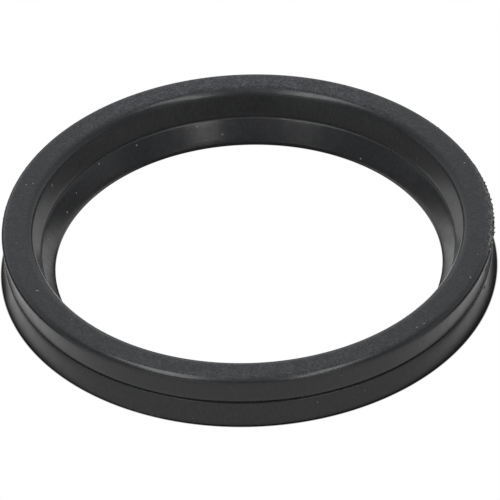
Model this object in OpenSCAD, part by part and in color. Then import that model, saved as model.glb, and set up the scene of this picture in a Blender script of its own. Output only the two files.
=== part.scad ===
// Hose gasket: one moulded rubber ring that seals a hose end against a pipe.
// The ring stands on its foot, with Z up along its axis and Z = 0 on the foot face.
// Its section has two bands, the foot band below and the rim band above.
// They meet in the parting plane, where both walls carry a fine groove.

/* [Ring] */
// Outside diameter at the foot's corner, the widest place of the ring
ring_d = 80.8; // [60:0.2:120]
// Height of the foot band, from the foot face up to the parting plane
foot_h = 4.4; // [3:0.1:8]
// Height of the rim band, from the parting plane up to the rim face
rim_h = 4.7; // [3.5:0.1:8]

/* [Section] */
// Width of the foot face, corner to corner
foot_w = 9.2; // [7:0.1:14]
// Width of the rim face, corner to corner
rim_w = 4.9; // [4:0.1:6.5]
// Width of the ring in the parting plane, before its grooves
waist_w = 5.9; // [4.5:0.1:8]
// How far the outer corner of the rim stands in from the foot
rim_inset = 0.4; // [0:0.1:1.5]
// How far the waist of the outer wall stands in from the foot
waist_inset = 0.8; // [0.2:0.1:2]

/* [Parting groove] */
// Width of the groove's mouth in the outer wall
outer_groove_w = 0.4; // [0.2:0.05:0.8]
// Depth of the groove in the outer wall
outer_groove_deep = 0.35; // [0.1:0.05:0.8]
// Width of the groove's mouth in the inner wall
inner_groove_w = 0.35; // [0.2:0.05:0.8]
// Depth of the groove in the inner wall
inner_groove_deep = 0.3; // [0.1:0.05:0.8]

/* [Corners] */
// Radius of the rim's outer corner
rim_outer_r = 1; // [0.3:0.1:1.6]
// Radius of the rim's inner corner
rim_inner_r = 1.5; // [0.5:0.1:2]
// Radius of the foot's outer corner
foot_outer_r = 0.2; // [0.1:0.05:1]
// Radius of the foot's inner corner, at the mouth of the hole
foot_inner_r = 0.5; // [0.1:0.05:1]

/* [Hidden] */

// Steps of a full turn of the ring, and of each round corner of its section
ring_steps = 180;
corner_steps = 48;

// Overlap of each corner arc with its wall
hair = 0.0002;

// Radii and heights of the corners, from the sizes above
foot_out = ring_d / 2;
foot_in = foot_out - foot_w;
waist_out = foot_out - waist_inset;
waist_in = waist_out - waist_w;
rim_out = foot_out - rim_inset;
rim_in = rim_out - rim_w;
top_z = foot_h + rim_h;

// Corners of the section, as [radius, height]
foot_out_pt = [foot_out, 0];
waist_out_pt = [waist_out, foot_h];
rim_out_pt = [rim_out, top_z];
rim_in_pt = [rim_in, top_z];
waist_in_pt = [waist_in, foot_h];
foot_in_pt = [foot_in, 0];

// Unit vector from one point towards another
function toward(from, to) = (to - from) / norm(to - from);

// A rounded corner is given as [point on its face, corner, point on its wall, radius].
// Centre of its arc, a hair out towards the wall, so that arc and wall cross cleanly
function arc_centre(bend) =
    let (
        corner = bend[1],
        along_face = toward(corner, bend[0]),
        along_wall = toward(corner, bend[2]),
        half_angle = acos(along_face * along_wall) / 2,
        middle = along_face + along_wall
    )
    corner + middle / norm(middle) * bend[3] / sin(half_angle) - along_face * hair;

// Where the arc of a rounded corner leaves its flat face
function face_end(bend) = [arc_centre(bend)[0], bend[1][1]];

// Where the arc of a rounded corner leaves its wall
function wall_end(bend) =
    let (along_wall = toward(bend[1], bend[2]))
    bend[1] + along_wall * ((arc_centre(bend) - bend[1]) * along_wall);

// Point of the wall between two corners, at height z
function wall_pt(low, high, z) = low + (high - low) * (z - low[1]) / (high[1] - low[1]);

// The four rounded corners
foot_outer = [foot_in_pt, foot_out_pt, waist_out_pt, foot_outer_r];
rim_outer = [rim_in_pt, rim_out_pt, waist_out_pt, rim_outer_r];
rim_inner = [rim_out_pt, rim_in_pt, waist_in_pt, rim_inner_r];
foot_inner = [foot_out_pt, foot_in_pt, waist_in_pt, foot_inner_r];

// Outline of the section, anticlockwise from the foot face, with its corners
// cut straight across and a V groove in each wall at the parting plane
section_outline = [
    face_end(foot_outer),
    wall_end(foot_outer),
    wall_pt(foot_out_pt, waist_out_pt, foot_h - outer_groove_w / 2),
    waist_out_pt - [outer_groove_deep, 0],
    wall_pt(waist_out_pt, rim_out_pt, foot_h + outer_groove_w / 2),
    wall_end(rim_outer),
    face_end(rim_outer),
    face_end(rim_inner),
    wall_end(rim_inner),
    wall_pt(waist_in_pt, rim_in_pt, foot_h + inner_groove_w / 2),
    waist_in_pt + [inner_groove_deep, 0],
    wall_pt(foot_in_pt, waist_in_pt, foot_h - inner_groove_w / 2),
    wall_end(foot_inner),
    face_end(foot_inner)
];

// The disc that fills out the straight cut across one rounded corner
module corner_disc(bend) {
    translate(arc_centre(bend))
        circle(r = bend[3], $fn = corner_steps);
}

// Section of the ring, to the right of its axis
module ring_section() {
    polygon(section_outline);
    for (bend = [foot_outer, rim_outer, rim_inner, foot_inner])
        corner_disc(bend);
}

// The moulded rubber ring
module gasket_ring() {
    color([0.16, 0.16, 0.17])
        rotate_extrude($fn = ring_steps)
            ring_section();
}

gasket_ring();
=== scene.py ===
import math
import random

import bmesh
import bpy
from mathutils import Matrix, Vector, noise


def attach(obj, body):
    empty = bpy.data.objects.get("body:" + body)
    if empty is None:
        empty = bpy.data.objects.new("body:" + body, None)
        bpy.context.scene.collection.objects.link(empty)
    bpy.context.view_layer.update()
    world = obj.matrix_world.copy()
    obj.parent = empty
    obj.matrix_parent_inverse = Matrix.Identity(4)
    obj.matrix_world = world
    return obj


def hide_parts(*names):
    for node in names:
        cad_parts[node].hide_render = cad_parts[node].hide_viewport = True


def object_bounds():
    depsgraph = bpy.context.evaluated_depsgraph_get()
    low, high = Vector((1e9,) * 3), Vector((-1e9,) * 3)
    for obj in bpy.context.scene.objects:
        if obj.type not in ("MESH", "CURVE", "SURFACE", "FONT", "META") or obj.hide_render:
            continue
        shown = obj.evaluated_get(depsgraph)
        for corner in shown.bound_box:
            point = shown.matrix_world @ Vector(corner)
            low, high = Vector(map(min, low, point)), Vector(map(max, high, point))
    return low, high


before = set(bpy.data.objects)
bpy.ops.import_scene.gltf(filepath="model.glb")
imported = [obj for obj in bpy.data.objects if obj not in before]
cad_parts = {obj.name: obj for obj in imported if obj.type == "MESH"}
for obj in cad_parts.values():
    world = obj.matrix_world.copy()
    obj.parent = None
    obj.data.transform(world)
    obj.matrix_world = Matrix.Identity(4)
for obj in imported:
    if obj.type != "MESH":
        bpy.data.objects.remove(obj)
cadLow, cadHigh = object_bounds()
mm = 0.001
scene = bpy.context.scene
scene.view_settings.view_transform = "Standard"


# the camera stands where the photo was taken from
photoCamera = {
    "aim": (0.25, -7.68, 9.1),   # mm, a point in the plane of the rim face
    "distance": 794.0,           # mm from that point to the lens
    "elevation": 39.05,          # degrees above the table
    "roll": -2.04,               # degrees, the photo is tipped a little
    "lens": 355.5,               # mm
    "sensor": 36.0,              # mm
    "clip": (0.05, 20),          # m
}


def addCamera(settings):
    elevation = math.radians(settings["elevation"])
    aim = Vector(settings["aim"]) * mm
    back = Vector((0, -math.cos(elevation), math.sin(elevation)))
    data = bpy.data.cameras.new("photoCamera")
    data.lens = settings["lens"]
    data.sensor_width = settings["sensor"]
    data.clip_start, data.clip_end = settings["clip"]
    camera = bpy.data.objects.new("photoCamera", data)
    scene.collection.objects.link(camera)
    turn = (-back).to_track_quat("-Z", "Y").to_matrix().to_4x4()
    roll = Matrix.Rotation(math.radians(settings["roll"]), 4, "Z")
    camera.matrix_world = Matrix.Translation(aim + back * settings["distance"] * mm) @ turn @ roll
    scene.camera = camera
    print("camera:", [round(v, 4) for v in camera.location])


addCamera(photoCamera)


# the section of the ring, in mm; its outside radius and its height come from the frame
ringShape = {
    "partingHeight": 4.4,
    "footWidth": 9.2,
    "rimWidth": 4.9,
    "waistWidth": 5.9,
    "rimInset": 0.4,
    "waistInset": 0.8,
    "footOuterRound": 0.2,
    "rimOuterRound": 1.0,
    "rimInnerRound": 1.5,
    "footInnerRound": 0.5,
    "rimDrop": 0.03,             # how far the rim face stays below the box, to leave room for dust
    # the narrow slit of the mould's parting line in each wall; its lips are heights over the foot face
    "outerSlit": {"upperLip": 4.47, "lowerLip": 4.09, "upperRound": 0.16, "lowerRound": 0.06,
                  "depth": 0.36, "bed": 0.25},
    "innerSlit": {"upperLip": 4.49, "lowerLip": 4.18, "upperRound": 0.05, "lowerRound": 0.24,
                  "depth": 0.4, "bed": 0.1},   # bed is how high the slit is at its deep end
    "slitDrop": 0.02,            # how far a slit's ceiling is below its upper lip
    "slitRound": 0.03,           # rounding of a slit's two deep corners
    # how many faces round off a corner, and how many a wall has that ends at a corner; 1 where not listed
    "cornerSteps": {"footInner": 7, "footOuter": 6, "rimOuter": 14, "rimInner": 14, "outerLowerLip": 5,
                    "innerLowerLip": 5, "outerUpperLip": 4, "innerUpperLip": 4},
    "wallSteps": {"footOuter": 4, "outerLowerLip": 5, "rimOuter": 4, "rimInner": 5, "innerUpperLip": 5,
                  "footInner": 5},
    "coarseStep": 0.6,           # degrees round the ring
    "fineStep": 0.15,            # degrees, where an edge is ragged
}

# moulding flash left along two corners of the section, by degrees round the ring from +X; heights in mm
flashEdges = {
    "rimOuter": {
        "arc": (-16, 22),
        "ease": 4,               # degrees over which it rises from both ends of its arc
        "height": 0.07,
        "uneven": (0.6, 0.8),    # the share of the height that is steady, and the share that varies
        "reach": (0.12, 0.09),   # where it stands round the corner: middle and spread, as shares of it
        "nibWidth": 0.42,        # degrees
        "nibs": [(21.2, 0.1), (20.2, 0.08), (14.2, 0.1), (12.6, 0.18), (6.1, 0.16), (4.2, 0.18),
                 (2.5, 0.14), (-0.6, 0.18), (-4.4, 0.16), (-6.1, 0.2), (-9.1, 0.14)],
        "smallNibs": 26,
        "smallNibHeight": (0.04, 0.13),
        "seed": 3,
    },
    "footOuter": {
        "arc": (236, 252),
        "ease": 3,
        "height": 0.02,
        "uneven": (0.6, 1.0),
        "reach": (0.75, 0.25),
        "nibWidth": 0.9,
        "nibs": [(240.8, 0.06), (243.0, 0.1), (246.4, 0.16), (248.2, 0.08)],
        "smallNibs": 0,
        "smallNibHeight": (0, 0),
        "seed": 0,
    },
}
flashWaves = 60                  # how quickly its height varies along the edge

# stretches where the rim's outer edge is torn
tornEdge = {
    "arcs": [(-17, 22, 1.0), (148, 178, 0.25), (22, 44, 0.4)],   # start, end, how rough
    "ease": 6,                   # degrees
    "reach": (0.35, 0.4),        # round the corner: middle and spread
    "grit": 0.035,               # mm, how high its grains are
    "waves": 300,                # how fine they are
}


def roundedCorner(before, corner, after, radius, steps):
    before, corner, after = Vector(before), Vector(corner), Vector(after)
    toBefore = (before - corner).normalized()
    toAfter = (after - corner).normalized()
    half = toBefore.angle(toAfter) / 2
    centre = corner + (toBefore + toAfter).normalized() * radius / math.sin(half)
    first = corner + toBefore * radius / math.tan(half) - centre
    last = corner + toAfter * radius / math.tan(half) - centre
    start = math.atan2(first.y, first.x)
    turn = (math.atan2(last.y, last.x) - start + math.pi) % (2 * math.pi) - math.pi
    angles = [start + turn * i / steps for i in range(steps + 1)]
    return [centre + radius * Vector((math.cos(a), math.sin(a))) for a in angles]


# corners of the section as (name, radius, height, rounding), anticlockwise from the hole's mouth
def ringCorners(shape):
    tilt = shape["waistInset"] / shape["partingHeight"]
    slack = shape["footOuterRound"] * (tilt + math.hypot(tilt, 1) - 1)
    footOut = cadHigh.x / mm + slack
    rimTop = cadHigh.z / mm - shape["rimDrop"]
    parting = shape["partingHeight"]
    footIn = footOut - shape["footWidth"]
    waistOut = footOut - shape["waistInset"]
    waistIn = waistOut - shape["waistWidth"]
    rimOut = footOut - shape["rimInset"]
    rimIn = rimOut - shape["rimWidth"]

    def wall(low, high, height):
        return low[0] + (high[0] - low[0]) * (height - low[1]) / (high[1] - low[1])

    def slitCorners(name, low, waist, high, slit, outward):
        deep = waist[0] - slit["depth"] * outward
        lower, upper = slit["lowerLip"], slit["upperLip"]
        ceiling = upper - shape["slitDrop"]
        return [
            (name + "LowerLip", wall(low, waist, lower), lower, slit["lowerRound"]),
            (name + "SlitLow", deep, ceiling - slit["bed"], shape["slitRound"]),
            (name + "SlitHigh", deep, ceiling, shape["slitRound"]),
            (name + "UpperLip", wall(waist, high, upper), upper, slit["upperRound"]),
        ]

    outer = slitCorners("outer", (footOut, 0), (waistOut, parting), (rimOut, rimTop), shape["outerSlit"], 1)
    inner = slitCorners("inner", (footIn, 0), (waistIn, parting), (rimIn, rimTop), shape["innerSlit"], -1)
    return [
        ("footInner", footIn, 0, shape["footInnerRound"]),
        ("footOuter", footOut, 0, shape["footOuterRound"]),
        *outer,
        ("rimOuter", rimOut, rimTop, shape["rimOuterRound"]),
        ("rimInner", rimIn, rimTop, shape["rimInnerRound"]),
        *reversed(inner),
    ]


# the closed section as (name, share along the corner or wall, radius, height)
def sectionPoints(shape):
    corners = ringCorners(shape)
    arcs = []
    for i, (name, radius, height, rounding) in enumerate(corners):
        before = corners[i - 1][1:3]
        after = corners[(i + 1) % len(corners)][1:3]
        steps = shape["cornerSteps"].get(name, 1)
        arcs.append((name, roundedCorner(before, (radius, height), after, rounding, steps)))
    points = []
    for i, (name, arc) in enumerate(arcs):
        lastPoint = arcs[i - 1][1][-1]
        steps = shape["wallSteps"].get(name, 1)
        for k in range(1, steps):
            place = lastPoint.lerp(arc[0], k / steps)
            points.append((name + "Wall", k / steps, place.x, place.y))
        for k, place in enumerate(arc):
            points.append((name, k / (len(arc) - 1), place.x, place.y))
    return points


# angles round the ring in degrees, close together where an edge has flash
def turnSteps(shape):
    start = flashEdges["rimOuter"]["arc"][0]
    raggedArcs = [edge["arc"] for edge in flashEdges.values()]
    angles = []
    angle = start
    while angle < start + 360 - 1e-6:
        angles.append(angle)
        ragged = any(low <= angle < high for low, high in raggedArcs)
        angle += shape["fineStep"] if ragged else shape["coarseStep"]
    return angles


# the nibs that are listed for an edge and the small ones scattered along its arc, as (degrees, height)
def edgeNibs(edge):
    chance = random.Random(edge["seed"])
    small = [(chance.uniform(*edge["arc"]), chance.uniform(*edge["smallNibHeight"]))
             for _ in range(edge["smallNibs"])]
    return edge["nibs"] + small


allNibs = {name: edgeNibs(edge) for name, edge in flashEdges.items()}


# a smooth hump, 1 at the middle
def hump(value, middle, width):
    return math.exp(-((value - middle) / width) ** 2)


# 1 inside the arc, falling to 0 at its ends; both are in degrees
def ease(angle, low, high, margin):
    angle = (angle - low) % 360
    inside = min(angle, high - low - angle) / margin
    return max(0.0, min(1.0, inside))


def rimRoughness(name, share, angle):
    if name != "rimOuter":
        return 0.0
    patch = max(ease(angle, low, high, tornEdge["ease"]) * amount for low, high, amount in tornEdge["arcs"])
    return patch * hump(share, *tornEdge["reach"])


# how far the flash and the torn edge stand off the ring at a point of the section, in mm
def flashHeight(name, share, angle):
    if name not in flashEdges:
        return 0.0
    edge = flashEdges[name]
    turn = math.radians(angle)
    place = Vector((math.cos(turn), math.sin(turn), share * 0.05))   # it rises a little round the corner
    steady, varying = edge["uneven"]
    fin = edge["height"] * (steady + varying * noise.noise(place * flashWaves))
    fin += sum(height * hump(angle, middle, edge["nibWidth"] / 2) for middle, height in allNibs[name])
    fin = ease(angle, *edge["arc"], edge["ease"]) * max(0.0, fin) * hump(share, *edge["reach"])
    grit = tornEdge["grit"] * noise.noise(place * tornEdge["waves"]) * rimRoughness(name, share, angle)
    return fin + grit


def buildRing(shape):
    section = sectionPoints(shape)
    angles = turnSteps(shape)
    count = len(section)
    vertices, torn, slit = [], [], []
    for angle in angles:
        turn = math.radians(angle)
        for i, (name, share, radius, height) in enumerate(section):
            before = Vector(section[i - 1][2:])
            after = Vector(section[(i + 1) % count][2:])
            along = (after - before).normalized()
            stand = flashHeight(name, share, angle)
            r = radius + along.y * stand
            z = max(height - along.x * stand, 0.0)
            vertices.append((r * math.cos(turn) * mm, r * math.sin(turn) * mm, z * mm))
            torn.append(rimRoughness(name, share, angle))
            slit.append(float(name.startswith("innerSlit")))
    faces = []
    for a in range(len(angles)):
        b = (a + 1) % len(angles)
        for i in range(count):
            j = (i + 1) % count
            faces.append((a * count + i, b * count + i, b * count + j, a * count + j))
    mesh = bpy.data.meshes.new("gasketRing")
    mesh.from_pydata(vertices, [], faces)
    mesh.polygons.foreach_set("use_smooth", [True] * len(faces))
    for name, values in (("torn", torn), ("slit", slit)):
        mesh.attributes.new(name, "FLOAT", "POINT").data.foreach_set("value", values)
    mesh.update()
    ring = bpy.data.objects.new("gasketRing", mesh)
    scene.collection.objects.link(ring)
    print("ring:", count, "points in the section,", len(angles), "steps,", len(faces) * 2, "triangles")
    return ring


# dust, lint and crumbs of rubber on the ring, by degrees round it
litter = {
    # (degrees, wall, radius on the rim or else height, length, width, rise, turn in degrees), in mm
    "specks": [
        (96.6, "innerLow", 2.0, 0.34, 0.26, 0.1, 0),
        (157.3, "innerHigh", 7.2, 0.66, 0.2, 0.06, 80),
        (161.5, "rim", 36.8, 0.34, 0.2, 0.025, 10),
        (162.4, "rim", 37.8, 0.3, 0.18, 0.025, 60),
        (156.8, "innerLow", 1.9, 0.5, 0.26, 0.06, 70),
        (136.7, "innerLow", 3.9, 0.3, 0.28, 0.08, 0),
        (122.9, "innerLow", 3.6, 0.34, 0.22, 0.06, 0),
        (103.6, "innerLow", 3.7, 0.42, 0.16, 0.05, 0),
        (52.8, "innerLow", 1.1, 0.32, 0.22, 0.06, 0),
        (149.2, "innerLow", 2.7, 0.3, 0.22, 0.06, 30),
        (205.3, "rim", 37.5, 0.52, 0.22, 0.025, 50),
        (334.9, "rim", 38.9, 0.3, 0.22, 0.025, 0),
        (314.7, "rim", 38.8, 0.46, 0.18, 0.025, 20),
        (312.6, "rim", 38.6, 0.3, 0.18, 0.025, 0),
        (20.0, "rim", 38.2, 0.3, 0.18, 0.025, 0),
    ],
    # near-black lumps where the outer wall has pits: painted shade in place of their hollows, listed as the
    # specks are
    "pitShades": [
        (342.6, "outerHigh", 6.95, 1.4, 0.46, 0.03, 0),
        (341.5, "outerLow", 3.6, 1.1, 0.26, 0.03, 0),
    ],
    # stray specks: how many, on which walls, and the band of each wall as radii on the rim or else heights
    "strayCount": 30,
    "strayWalls": ("rim", "rim", "innerHigh", "innerLow", "outerHigh", "outerLow"),
    "strayBands": {"rim": (36.6, 39.0), "innerHigh": (4.8, 7.4), "outerHigh": (4.8, 7.8), "low": (0.6, 3.9)},
    "straySize": (0.07, 0.14),   # mm
    "strayStretch": 1.4,
    "rimRise": 0.02,             # mm, how far they rise over the rim face
    "wallRise": 1 / 3,           # and over a wall, as a share of their size
    # crumbs: start, end, how many
    "crumbArcs": [(-13, 20, 150), (20, 44, 24), (150, 178, 20)],
    "crumbSize": (0.08, 0.24),   # mm
    "crumbStretch": (1, 1.8),
    "crumbRise": 0.4,            # as a share of their size
    "crumbShare": (0.18, 0.16),  # where the crumbs lie round the corner: middle and spread
    "crumbEnd": 0.9,             # and how far round it at most
    "crumbRoom": 0.9,            # the most of the room below the box's top that a crumb fills
    "seed": 7,
    "swell": 0.35,               # how uneven all of them are
    "waves": 1.4,                # and how finely
}

# each wall of the section as the pair of corners at its two ends
wallEnds = {
    "outerLow": ("footOuter", "outerLowerLip"),
    "outerHigh": ("outerUpperLip", "rimOuter"),
    "rim": ("rimOuter", "rimInner"),
    "innerHigh": ("rimInner", "innerUpperLip"),
    "innerLow": ("innerLowerLip", "footInner"),
}


# point of a wall and its outward direction, at a radius on the rim and else at a height
def wallPlace(shape, wall, value):
    corners = {name: Vector((radius, height)) for name, radius, height, rounding in ringCorners(shape)}
    start, end = (corners[name] for name in wallEnds[wall])
    axis = 0 if wall == "rim" else 1
    share = (value - start[axis]) / (end[axis] - start[axis])
    along = (end - start).normalized()
    return start.lerp(end, share), Vector((along.y, -along.x))


# a flat lumpy grain of length, width and rise in mm, lying on a surface
def addLump(bm, angle, place, outward, size, turn, seed):
    turnRound = math.radians(angle)
    away = Vector((math.cos(turnRound), math.sin(turnRound), 0))
    normal = away * outward.x + Vector((0, 0, outward.y))
    along = Vector((-away.y, away.x, 0))
    across = normal.cross(along)
    facing = Matrix((along, across, normal)).transposed().to_4x4()
    middle = away * place.x + Vector((0, 0, place.y))
    spin = Matrix.Rotation(math.radians(turn), 4, "Z")
    scale = Matrix.Diagonal((size[0] / 2, size[1] / 2, size[2], 1))
    made = bmesh.ops.create_icosphere(bm, subdivisions=2, radius=1)
    for vertex in made["verts"]:
        swell = 1 + litter["swell"] * noise.noise(vertex.co * litter["waves"] + Vector((seed, 0, 0)))
        flat = Vector((vertex.co.x * swell, vertex.co.y * swell, vertex.co.z))
        vertex.co = (middle + facing @ spin @ scale @ flat) * mm


def addListedLumps(bm, shape, lumps):
    for i, (angle, wall, value, length, width, rise, turn) in enumerate(lumps):
        place, outward = wallPlace(shape, wall, value)
        addLump(bm, angle, place, outward, (length, width, rise), turn, i)


def finishLumps(name, bm, material):
    mesh = bpy.data.meshes.new(name)
    bm.to_mesh(mesh)
    bm.free()
    mesh.polygons.foreach_set("use_smooth", [True] * len(mesh.polygons))
    mesh.materials.append(material)
    piece = bpy.data.objects.new(name, mesh)
    scene.collection.objects.link(piece)
    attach(piece, "root")
    print(name + ":", len(mesh.polygons), "triangles")


def addSpecks(shape, settings, material):
    chance = random.Random(settings["seed"])
    bm = bmesh.new()
    addListedLumps(bm, shape, settings["specks"])
    for i in range(settings["strayCount"]):
        wall = chance.choice(settings["strayWalls"])
        values = {band: chance.uniform(*ends) for band, ends in settings["strayBands"].items()}
        place, outward = wallPlace(shape, wall, values.get(wall, values["low"]))
        size = chance.uniform(*settings["straySize"])
        rise = settings["rimRise"] if wall == "rim" else size * settings["wallRise"]
        lump = (size * settings["strayStretch"], size, rise)
        addLump(bm, chance.uniform(0, 360), place, outward, lump, chance.uniform(0, 180), i)
    finishLumps("dustSpecks", bm, material)


# near-black lumps where the outer wall has pits: painted shade
def addPitShadeLumps(shape, settings, material):
    bm = bmesh.new()
    addListedLumps(bm, shape, settings["pitShades"])
    finishLumps("pitShadeLumps", bm, material)


# crumbs of torn rubber along the rim's outer edge, none higher than the box
def addCrumbs(shape, settings, material):
    chance = random.Random(settings["seed"] + 1)
    section = sectionPoints(shape)
    corner = [i for i, point in enumerate(section) if point[0] == "rimOuter"]
    bm = bmesh.new()
    for start, end, count in settings["crumbArcs"]:
        for i in range(count):
            share = min(max(chance.gauss(*settings["crumbShare"]), 0.0), settings["crumbEnd"])
            k = corner[int(share * len(corner))]
            before, place, after = (Vector(section[j][2:]) for j in (k - 1, k, k + 1))
            along = (after - before).normalized()
            size = chance.uniform(*settings["crumbSize"])
            length = size * chance.uniform(*settings["crumbStretch"])
            room = (cadHigh.z / mm - place.y) * settings["crumbRoom"]
            lump = (length, size, min(size * settings["crumbRise"], room))
            outward = Vector((along.y, -along.x))
            addLump(bm, chance.uniform(start, end), place, outward, lump, chance.uniform(0, 180), i)
    finishLumps("tornCrumbs", bm, material)


# the rubber of the ring; lengths in mm
rubberFinish = {
    "colour": (0.0145, 0.0147, 0.0152),
    "paleGrain": (0.022, 0.0223, 0.0231),
    "bloomAndSheenColour": (0.068, 0.069, 0.0724),   # grey on the rim face: a dry bloom, with painted sheen where it fades
    "bloomAndSheenDepth": (0.25, 0.05),  # from how far below the box's top the bloom and painted sheen rise, and where they are full
    "bloomAndSheenGrain": (0.2, 0.8),    # the part of the grain that it follows
    "bloomAndSheenMottle": (0.4, 1),     # its strength over the dark and the pale mottle
    "bloomAndSheenAcross": (12, 36, 1, 0.2),     # painted sheen: from x to x, and its strength there, weaker towards the ring's sides
    "bloomAndSheenAlong": (-30, 10, 0.5, 1),     # painted sheen: from y to y, and its strength there, weaker towards the near part
    "tornColour": (0.28, 0.265, 0.245),
    "tornGrain": (0.35, 0.9),
    "dustColour": (0.28, 0.27, 0.25),
    "dustSize": 0.1,             # the finest dust, which is only colour
    "dustCell": 6,               # size of the cells that may hold one speck each, in specks
    "dustShare": 0.1,            # share of the cells that hold one
    "dustEdge": (0.06, 0.14),    # where a speck fades, in cells from its middle
    "dustStrength": 0.2,
    "roughness": (0.22, 0.27),
    "tornRoughness": 0.5,        # added where the edge is torn
    "slitRoughness": 0.6,        # added in the inner slit
    "grainSize": 0.35,
    "mottleSize": 1.6,
    "mottleRelief": 1.5,         # the mottle's height over the grain's
    "streak": 0.4,               # below 1 the grain is drawn out along the walls
    "bump": 0.0045,
}

# dry matt matter between two colours, and near-black painted shade for the pits; gloss 0.5 is plain
matteFinishes = {
    "paleDust": {"colour": (0.33, 0.315, 0.29), "shade": (0.12, 0.116, 0.112), "gloss": 0.5,
                 "grainSize": 0.08, "mottleSize": 0.9},
    "tornRubber": {"colour": (0.5, 0.47, 0.43), "shade": (0.08, 0.076, 0.07), "gloss": 0.5,
                   "grainSize": 0.1, "mottleSize": 0.4},
    # painted pit shade: near-black, for the lumps that stand where the pits' hollows are shaded
    "paintedPitShade": {"colour": (0.006, 0.006, 0.006), "shade": (0.003, 0.003, 0.003), "gloss": 0.0,
                   "grainSize": 0.1, "mottleSize": 0.5},
}
matteRoughness = (0.6, 0.95)
matteRelief = 0.25               # height of their grain over its size


def newMaterial(name):
    material = bpy.data.materials.new(name)
    material.use_nodes = True
    print("material:", name)
    return material, material.node_tree.nodes, material.node_tree.links


# a math node on sockets or plain numbers
def combine(tree, operation, *values):
    node = tree.nodes.new("ShaderNodeMath")
    node.operation = operation
    for socket, value in zip(node.inputs, values):
        if isinstance(value, (int, float)):
            socket.default_value = value
        else:
            tree.links.new(value, socket)
    return node.outputs[0]


def multiply(tree, first, *others):
    for other in others:
        first = combine(tree, "MULTIPLY", first, other)
    return first


# from the first value to the second as share goes from 0 to 1; each is a socket or a plain number
def between(tree, share, first, second):
    return combine(tree, "MULTIPLY_ADD", combine(tree, "SUBTRACT", second, first), share, first)


# carries a value from one range to another and holds it at the ends
def spread(tree, value, low, high, toLow=0.0, toHigh=1.0, shape="SMOOTHSTEP"):
    node = tree.nodes.new("ShaderNodeMapRange")
    tree.links.new(value, node.inputs["Value"])
    for name, number in (("From Min", low), ("From Max", high), ("To Min", toLow), ("To Max", toHigh)):
        node.inputs[name].default_value = number
    node.interpolation_type = shape
    return node.outputs["Result"]


# the same for a length, whose own range is in mm
def fade(tree, length, low, high, toLow=0.0, toHigh=1.0):
    return spread(tree, length, low * mm, high * mm, toLow, toHigh)


# blends two colours, each a socket or a plain colour
def blend(tree, share, first, second):
    node = tree.nodes.new("ShaderNodeMix")
    node.data_type = "RGBA"
    tree.links.new(share, node.inputs["Factor"])
    for socket, value in ((node.inputs["A"], first), (node.inputs["B"], second)):
        if isinstance(value, tuple):
            socket.default_value = (*value, 1)
        else:
            tree.links.new(value, socket)
    return node.outputs["Result"]


def attribute(tree, name):
    node = tree.nodes.new("ShaderNodeAttribute")
    node.attribute_name = name
    return node.outputs["Fac"]


# the grain that all materials here share: sizes in metres, Streak below 1 draws it out in Z
grainPattern = {
    "Grain": {"size": 0.3, "detail": 3},     # size in mm where a material gives none
    "Mottle": {"size": 2.0, "detail": 2},
}
grainSpan = (0.25, 0.75)         # the part of the noise that is spread from 0 to 1


def mouldedGrain(patterns):
    group = bpy.data.node_groups.new("mouldedGrain", "ShaderNodeTree")
    defaults = {name + " Size": pattern["size"] * mm for name, pattern in patterns.items()}
    for name, value in (*defaults.items(), ("Streak", 1.0)):
        socket = group.interface.new_socket(name, in_out="INPUT", socket_type="NodeSocketFloat")
        socket.default_value = value
    for name in patterns:
        group.interface.new_socket(name, in_out="OUTPUT", socket_type="NodeSocketFloat")
    start = group.nodes.new("NodeGroupInput")
    end = group.nodes.new("NodeGroupOutput")
    place = group.nodes.new("ShaderNodeTexCoord")
    squash = group.nodes.new("ShaderNodeCombineXYZ")
    squash.inputs["X"].default_value = 1
    squash.inputs["Y"].default_value = 1
    group.links.new(start.outputs["Streak"], squash.inputs["Z"])
    scaled = group.nodes.new("ShaderNodeVectorMath")
    scaled.operation = "MULTIPLY"
    group.links.new(place.outputs["Object"], scaled.inputs[0])
    group.links.new(squash.outputs["Vector"], scaled.inputs[1])
    for name, pattern in patterns.items():
        cloud = group.nodes.new("ShaderNodeTexNoise")
        cloud.inputs["Detail"].default_value = pattern["detail"]
        group.links.new(scaled.outputs["Vector"], cloud.inputs["Vector"])
        group.links.new(combine(group, "DIVIDE", 1.0, start.outputs[name + " Size"]), cloud.inputs["Scale"])
        group.links.new(spread(group, cloud.outputs["Fac"], *grainSpan), end.inputs[name])
    return group


grainGroup = mouldedGrain(grainPattern)


def placeGrain(tree, finish, streak=1.0):
    node = tree.nodes.new("ShaderNodeGroup")
    node.node_tree = grainGroup
    node.inputs["Grain Size"].default_value = finish["grainSize"] * mm
    node.inputs["Mottle Size"].default_value = finish["mottleSize"] * mm
    node.inputs["Streak"].default_value = streak
    return node.outputs["Grain"], node.outputs["Mottle"]


def addBump(tree, height, distance):
    node = tree.nodes.new("ShaderNodeBump")
    node.inputs["Strength"].default_value = 1
    node.inputs["Distance"].default_value = distance * mm
    tree.links.new(height, node.inputs["Height"])
    tree.links.new(node.outputs["Normal"], tree.nodes["Principled BSDF"].inputs["Normal"])


# scattered round specks: 1 on a speck and 0 between them
def speckMask(tree, finish):
    place = tree.nodes.new("ShaderNodeTexCoord")
    cells = tree.nodes.new("ShaderNodeTexVoronoi")
    cells.inputs["Scale"].default_value = 1 / (finish["dustSize"] * finish["dustCell"] * mm)
    tree.links.new(place.outputs["Object"], cells.inputs["Vector"])
    chance = tree.nodes.new("ShaderNodeSeparateColor")
    tree.links.new(cells.outputs["Color"], chance.inputs["Color"])
    chosen = combine(tree, "LESS_THAN", chance.outputs["Red"], finish["dustShare"])
    near = spread(tree, cells.outputs["Distance"], *finish["dustEdge"], 1, 0)
    return multiply(tree, chosen, near)
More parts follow.
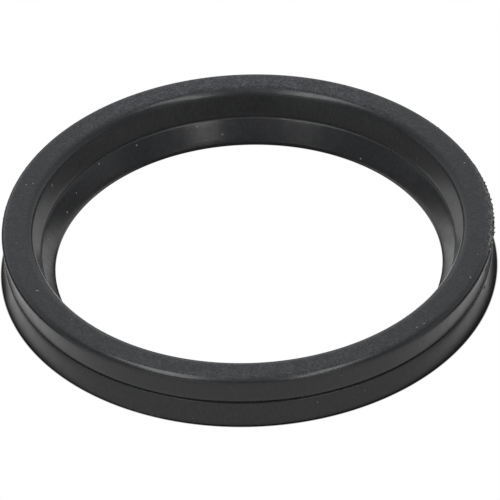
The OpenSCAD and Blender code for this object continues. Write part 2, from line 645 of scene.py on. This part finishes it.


# the grey on the rim face: a mottled dry bloom, with painted sheen that is weaker towards the ring's sides
# and its near part
def bloomAndSheenMask(tree, grain, mottle, finish):
    place = tree.nodes.new("ShaderNodeTexCoord")
    split = tree.nodes.new("ShaderNodeSeparateXYZ")
    tree.links.new(place.outputs["Object"], split.inputs["Vector"])
    rise, full = (cadHigh.z / mm - depth for depth in finish["bloomAndSheenDepth"])
    return multiply(
        tree,
        fade(tree, split.outputs["Z"], rise, full),
        spread(tree, grain, *finish["bloomAndSheenGrain"]),
        spread(tree, mottle, 0, 1, *finish["bloomAndSheenMottle"]),
        fade(tree, combine(tree, "ABSOLUTE", split.outputs["X"]), *finish["bloomAndSheenAcross"]),
        fade(tree, split.outputs["Y"], *finish["bloomAndSheenAlong"]),
    )


def blackRubber(finish):
    material, nodes, links = newMaterial("blackRubber")
    tree = material.node_tree
    shader = nodes["Principled BSDF"]
    grain, mottle = placeGrain(tree, finish, finish["streak"])
    bloomAndSheen = bloomAndSheenMask(tree, grain, mottle, finish)
    dust = multiply(tree, speckMask(tree, finish), finish["dustStrength"])
    torn = multiply(tree, attribute(tree, "torn"), spread(tree, grain, *finish["tornGrain"]))
    colour = blend(tree, grain, finish["colour"], finish["paleGrain"])
    # the rim face's bloom with its painted sheen, then the dust and the torn edge, over the rubber's colour
    for share, over in ((bloomAndSheen, "bloomAndSheenColour"), (dust, "dustColour"), (torn, "tornColour")):
        colour = blend(tree, share, colour, finish[over])
    links.new(colour, shader.inputs["Base Color"])
    roughness = spread(tree, mottle, 0, 1, *finish["roughness"])
    for share, more in ((torn, "tornRoughness"), (attribute(tree, "slit"), "slitRoughness")):
        roughness = combine(tree, "ADD", roughness, multiply(tree, share, finish[more]))
    links.new(roughness, shader.inputs["Roughness"])
    relief = combine(tree, "ADD", grain, multiply(tree, mottle, finish["mottleRelief"]))
    addBump(tree, relief, finish["bump"])
    return material


def matteGrains(name):
    finish = matteFinishes[name]
    material, nodes, links = newMaterial(name)
    tree = material.node_tree
    shader = nodes["Principled BSDF"]
    grain, mottle = placeGrain(tree, finish)
    links.new(blend(tree, mottle, finish["colour"], finish["shade"]), shader.inputs["Base Color"])
    links.new(spread(tree, grain, 0, 1, *matteRoughness), shader.inputs["Roughness"])
    shader.inputs["Specular IOR Level"].default_value = finish["gloss"]
    addBump(tree, grain, finish["grainSize"] * matteRelief)
    return material


ring = buildRing(ringShape)
ring.data.materials.append(blackRubber(rubberFinish))
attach(ring, "root")
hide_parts("gasket_ring")
addSpecks(ringShape, litter, matteGrains("paleDust"))
addPitShadeLumps(ringShape, litter, matteGrains("paintedPitShade"))
addCrumbs(ringShape, litter, matteGrains("tornRubber"))


# a glowing white table with painted shades; lengths in mm, and a shade is (from, to, ...) along a radius or
# an axis
tableFloor = {
    "size": 3000,
    # what the camera sees: the radii between which the dark under the ring, a thin painted contact shadow at
    # the foot, ends, in the hole and outside
    "seenInHole": (31.52, 31.68),
    "seenOutside": (40.38, 40.62),
    # what the ring sees: painted shades that stand in for the soft shades that it casts itself, and painted
    # glow in the hole
    "shadeShift": 0.3,           # how far they lie towards +X
    "shadeBeside": (40.65, 43.0, 0.02),  # from radius to radius, and how bright the floor at the foot is
    "shadeInFront": (40.2, 41.5),        # the same at the ring's near part, where it is dark at the foot
    "shadeLag": (-9, -1, 0.8),   # from y to y, and how much wider the shade is beyond
    "frontShade": (-36, -18, 0.57),      # from y to y, and how bright the floor in front is
    "sideShade": (44.5, 47, 1, 0.1),     # from radius to radius, and how bright the floor is there
    "holeEdge": 36,              # radius under the ring that parts the hole from the floor outside
    "hollow": (14, 24, 0.25, 1.15),      # from x to x in the hole, and how bright it is there
    "holeNear": (28.9, 30.0, 1, 0.05),   # from radius to radius, and how bright the hole's near part is there
    "holeFar": (27.2, 28.8, 1, 0.44),    # the same for its far part
    "holeTurn": (5, 8),          # from y to y between the near and the far part
}


# how far a point of the floor is from the one that lies x mm towards +X from the ring's middle
def reachFrom(tree, place, x):
    node = tree.nodes.new("ShaderNodeVectorMath")
    node.operation = "DISTANCE"
    tree.links.new(place, node.inputs[0])
    node.inputs[1].default_value = (x * mm, 0, 0)
    return node.outputs["Value"]


# how bright the floor is as the ring reflects it, with its painted shades at the foot, in front and in the
# hole
def reflectedFloor(tree, place, radius, settings):
    split = tree.nodes.new("ShaderNodeSeparateXYZ")
    tree.links.new(place, split.inputs["Vector"])
    across, along = split.outputs["X"], split.outputs["Y"]
    shifted = reachFrom(tree, place, settings["shadeShift"])
    lagStart, lagEnd, lag = settings["shadeLag"]
    lagging = combine(tree, "SUBTRACT", shifted, fade(tree, along, lagStart, lagEnd, 0, lag * mm))
    beside = multiply(tree, fade(tree, lagging, *settings["shadeBeside"]),
                      fade(tree, radius, *settings["sideShade"]))
    frontStart, frontEnd, frontGlow = settings["frontShade"]
    before = multiply(tree, fade(tree, shifted, *settings["shadeInFront"]), frontGlow)
    outside = between(tree, fade(tree, along, frontStart, frontEnd), before, beside)
    hollow = fade(tree, combine(tree, "ABSOLUTE", across), *settings["hollow"])
    nearFoot = fade(tree, shifted, *settings["holeNear"])
    farFoot = fade(tree, shifted, *settings["holeFar"])
    foot = between(tree, fade(tree, along, *settings["holeTurn"]), nearFoot, farFoot)
    inside = multiply(tree, hollow, foot)
    isOutside = combine(tree, "GREATER_THAN", radius, settings["holeEdge"] * mm)
    return between(tree, isOutside, inside, outside)


# the camera sees the floor white up to a thin painted contact shadow at the foot, and the ring sees it with
# its painted soft shades
def paleFloor(settings):
    material, nodes, links = newMaterial("paleFloor")
    nodes.remove(nodes["Principled BSDF"])
    tree = material.node_tree
    place = nodes.new("ShaderNodeTexCoord").outputs["Object"]
    radius = reachFrom(tree, place, 0)
    # white, with a thin painted contact shadow round the foot
    seen = combine(tree, "ADD", fade(tree, radius, *settings["seenInHole"], 1, 0),
                   fade(tree, radius, *settings["seenOutside"]))
    # the painted shades and glow that the ring reflects
    reflected = reflectedFloor(tree, place, radius, settings)
    ray = nodes.new("ShaderNodeLightPath")
    strength = between(tree, ray.outputs["Is Camera Ray"], reflected, seen)
    glow = nodes.new("ShaderNodeEmission")
    links.new(strength, glow.inputs["Strength"])
    links.new(glow.outputs["Emission"], nodes["Material Output"].inputs["Surface"])
    return material


def addFloor(settings):
    half = settings["size"] * mm / 2
    corners = [(-half, -half, 0), (half, -half, 0), (half, half, 0), (-half, half, 0)]
    mesh = bpy.data.meshes.new("floor")
    mesh.from_pydata(corners, [], [(0, 1, 2, 3)])
    floor = bpy.data.objects.new("floor", mesh)
    scene.collection.objects.link(floor)
    mesh.materials.append(paleFloor(settings))
    print("floor:", settings["size"], "mm across")


# softboxes by azimuth from the camera's side towards +X and by elevation, in degrees; in m and W
softboxes = {
    "leftStrip": {"azimuth": -48.4, "elevation": 56.4, "distance": 0.25, "size": (0.075, 0.28), "turn": 34,
                  "power": 0.26},
    "rightStrip": {"azimuth": 35.6, "elevation": 50.7, "distance": 0.41, "size": (0.074, 0.49), "turn": -28.5,
                   "power": 0.5},
    "lowLeft": {"azimuth": -30, "elevation": 7, "distance": 1.2, "size": (0.62, 0.28), "turn": 0,
                "power": 0.42},
    "lowRight": {"azimuth": 30, "elevation": 7, "distance": 1.2, "size": (0.62, 0.28), "turn": 0,
                 "power": 0.32},
    "sideRight": {"azimuth": 105, "elevation": 16, "distance": 1.2, "size": (1.6, 0.7), "turn": 0,
                  "power": 0.9},
    "backLeft": {"azimuth": -125, "elevation": 16, "distance": 1.2, "size": (1.6, 0.7), "turn": 0,
                 "power": 0.9},
    "backMiddle": {"azimuth": 180, "elevation": 23, "distance": 1.2, "size": (0.62, 0.4), "turn": 0,
                   "power": 0.18},
}


def addSoftbox(name, box):
    azimuth, elevation, turn = (math.radians(box[key]) for key in ("azimuth", "elevation", "turn"))
    level = math.cos(elevation)
    out = Vector((math.sin(azimuth) * level, -math.cos(azimuth) * level, math.sin(elevation)))
    data = bpy.data.lights.new(name, "AREA")
    data.shape = "RECTANGLE"
    data.size, data.size_y = box["size"]
    data.energy = box["power"]
    light = bpy.data.objects.new(name, data)
    scene.collection.objects.link(light)
    facing = (-out).to_track_quat("-Z", "Y").to_matrix().to_4x4()
    light.matrix_world = Matrix.Translation(out * box["distance"]) @ facing @ Matrix.Rotation(turn, 4, "Z")
    print("softbox:", name)


# a soft surround, brighter at the back, overhead and along the horizon
surround = {
    "tint": (0.95, 0.985, 1.05),
    "back": 0.4,
    "zenith": 0.5,
    "horizon": 0.44,
    "horizonEnd": 0.3,           # sine of the elevation where its glow ends
}


def addSurround(settings):
    world = bpy.data.worlds.new("studioWorld")
    scene.world = world
    world.use_nodes = True
    tree = world.node_tree
    place = tree.nodes.new("ShaderNodeTexCoord")
    split = tree.nodes.new("ShaderNodeSeparateXYZ")
    tree.links.new(place.outputs["Generated"], split.inputs["Vector"])
    back = spread(tree, split.outputs["Y"], 0, 1, 0, settings["back"], "LINEAR")
    zenith = spread(tree, split.outputs["Z"], 0, 1, 0, settings["zenith"], "LINEAR")
    horizon = spread(tree, split.outputs["Z"], 0, settings["horizonEnd"], settings["horizon"], 0, "LINEAR")
    backdrop = tree.nodes["Background"]
    backdrop.inputs["Color"].default_value = (*settings["tint"], 1)
    strength = combine(tree, "ADD", combine(tree, "ADD", back, zenith), horizon)
    tree.links.new(strength, backdrop.inputs["Strength"])
    print("surround: built")


addFloor(tableFloor)
addSurround(surround)
for boxName, boxSettings in softboxes.items():
    addSoftbox(boxName, boxSettings)
